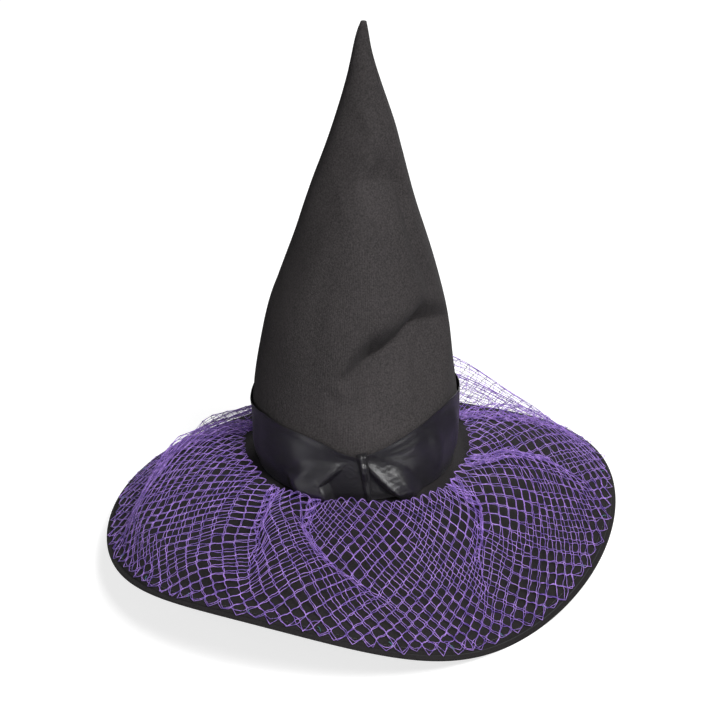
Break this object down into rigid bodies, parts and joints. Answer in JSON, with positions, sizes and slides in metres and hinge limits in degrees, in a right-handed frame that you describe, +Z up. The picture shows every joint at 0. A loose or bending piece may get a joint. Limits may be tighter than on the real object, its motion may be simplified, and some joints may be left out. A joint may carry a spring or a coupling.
{
  "type": "witch hat",
  "caption": "Tall soft pointed cone on a wide wired drooping brim, with a satin hatband and a gathered net veil over the brim.",
  "frame": {"origin": "centre of the head opening, in the plane where the crown is sewn to the brim", "axes": "+Z up the crown, -Y to the front where the hatband's keeper sits, +X to the wearer's left"},
  "size_m": [0.4992, 0.5003, 0.5435],
  "materials": {
    "crown_cloth": "fine matt weave",
    "brim_cloth": "fine matt weave",
    "interfacing": "matt non-woven",
    "sweatband_tape": "ribbed tape",
    "black_satin": "satin",
    "label_satin": "woven satin",
    "purple_net": "knotted net",
    "black_thread": "spun thread",
    "teal_thread": "spun thread",
    "hat_wire": "drawn wire",
    "joiner_plastic": "matt"
  },
  "bodies": {
    "root": {"crown_shell": "crown_cloth", "crown_interfacing": "interfacing", "crown_seam_stitching": "black_thread", "sweatband": "sweatband_tape", "crown_brim_seam_stitching": "black_thread", "blank_label": "label_satin", "brim_top_panel": "brim_cloth", "brim_stiffener": "interfacing", "brim_underside_panel": "brim_cloth", "brim_edge_casing": "brim_cloth", "brim_edge_wire": "hat_wire", "wire_joiner": "joiner_plastic", "brim_edge_stitching": "black_thread", "hatband_ribbon": "black_satin", "hatband_keeper": "black_satin", "hatband_tacks": "black_thread", "net_veil": "purple_net", "net_tacks": "teal_thread"}
  },
  "joints": []
}
